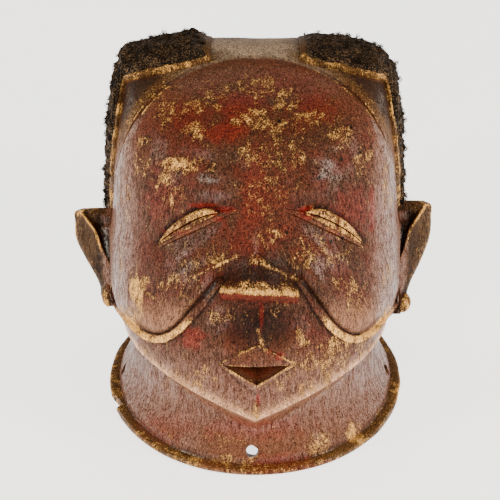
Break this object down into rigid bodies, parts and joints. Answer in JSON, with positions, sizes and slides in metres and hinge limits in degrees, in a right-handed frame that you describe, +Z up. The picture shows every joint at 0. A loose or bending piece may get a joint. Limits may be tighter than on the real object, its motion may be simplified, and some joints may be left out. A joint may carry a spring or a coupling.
{
  "type": "makonde helmet mask",
  "caption": "Carved wooden helmet mask with a human face, open below to fit over a head, with patches of short hair on the crown. It stands on its rim.",
  "frame": {"origin": "on the plane of the rim's underside, under the middle of the mask's box", "axes": "+Z up through the crown, -Y out of the face, +X towards the ear on the picture's right"},
  "size_m": [0.2368, 0.2392, 0.2512],
  "materials": {
    "painted_wood": "worn dark red paint on golden wood, satin",
    "hair": "short frizzy black-brown hair, matt"
  },
  "bodies": {
    "root": {"helmet": "painted_wood", "hair_left": "hair", "hair_right": "hair"}
  },
  "joints": []
}
